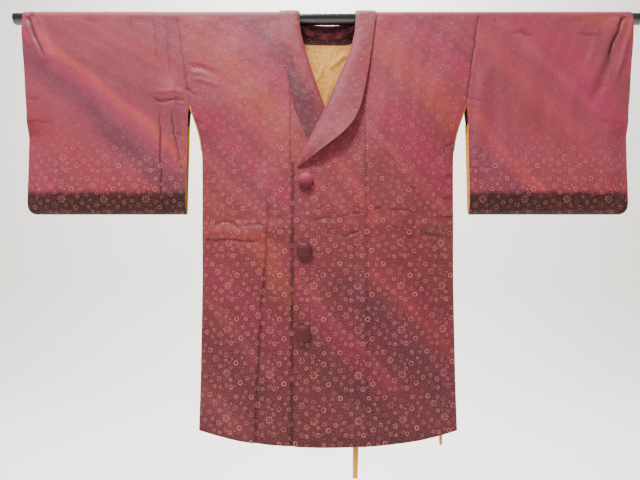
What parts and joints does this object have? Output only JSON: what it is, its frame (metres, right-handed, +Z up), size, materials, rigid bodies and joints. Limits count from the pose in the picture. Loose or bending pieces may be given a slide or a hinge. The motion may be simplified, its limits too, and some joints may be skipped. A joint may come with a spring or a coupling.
{
  "type": "kimono coat hung on a rod",
  "caption": "Women's lined silk kimono coat with a folded shawl collar, covered buttons and open-ended bag sleeves, hung on a round rod.",
  "frame": {"origin": "middle of the rod, on its axis", "axes": "+X along the rod towards the wearer's left sleeve, -Y out of the coat's front, +Z up"},
  "size_m": [1.36, 0.0711, 0.9696],
  "materials": {
    "silk": "figured satin with a soft sheen",
    "lining": "plain satin",
    "rod_paint": "gloss black paint"
  },
  "bodies": {
    "root": {"body_left": "silk", "body_right": "silk", "overlap_left": "silk", "overlap_right": "silk", "collar_left": "silk", "collar_right": "silk", "sleeve_left": "silk", "sleeve_right": "silk", "button_top": "silk", "button_middle": "silk", "button_low": "silk", "lining_back_left": "lining", "lining_back_right": "lining", "lining_front_left": "lining", "lining_front_right": "lining", "sleeve_edging_left": "lining", "sleeve_edging_right": "lining", "tie_centre": "lining", "tie_side": "lining", "rod": "rod_paint"}
  },
  "joints": []
}
